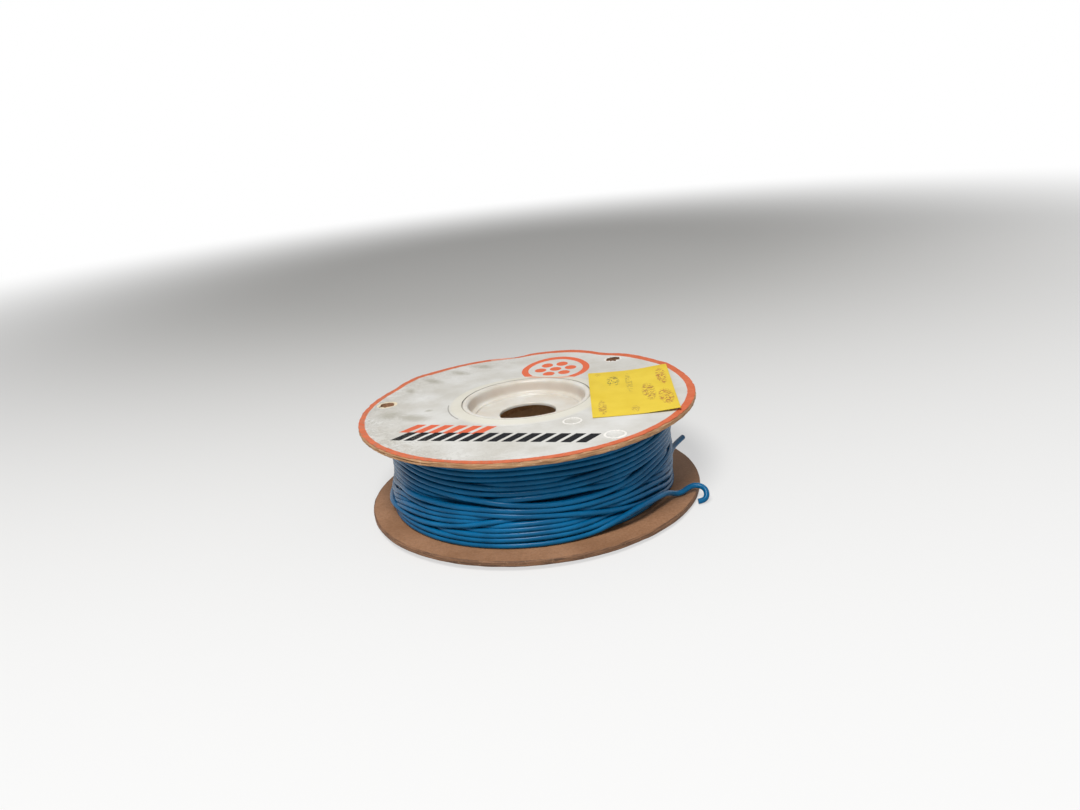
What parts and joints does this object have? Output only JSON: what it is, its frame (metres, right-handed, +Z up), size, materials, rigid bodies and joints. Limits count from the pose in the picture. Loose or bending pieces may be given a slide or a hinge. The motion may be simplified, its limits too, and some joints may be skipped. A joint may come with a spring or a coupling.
{
  "type": "cable drum",
  "caption": "Flanged drum standing on one end: hardboard flanges, moulded plastic hubs, cardboard tube, printed paper face, and blue single-core cable wound on it with loose ends.",
  "frame": {"origin": "centre of the drum's underside, on its axis, at the level floor it stands on", "axes": "+Z up along the drum's axis through the bore; +X to the right and +Y away, as the picture looks at it"},
  "size_m": [0.3, 0.3, 0.092],
  "materials": {
    "hardboard": "wood-fibre hardboard, smooth pressed face, sawn edge",
    "tube_cardboard": "spiral-wound brown cardboard",
    "hub_plastic": "injection-moulded off-white plastic, slightly translucent",
    "face_paper": "coated off-white paper with an orange printed ring, worn",
    "note_paper": "plain yellow note paper",
    "cable_pvc": "extruded blue PVC insulation, satin"
  },
  "bodies": {
    "root": {"bottom_flange": "hardboard", "top_flange": "hardboard", "core_tube": "tube_cardboard", "bottom_hub": "hub_plastic", "top_hub": "hub_plastic", "face_label": "face_paper", "sticky_note": "note_paper", "cable_winding": "cable_pvc", "cable_tail": "cable_pvc", "cable_start": "cable_pvc"}
  },
  "joints": []
}
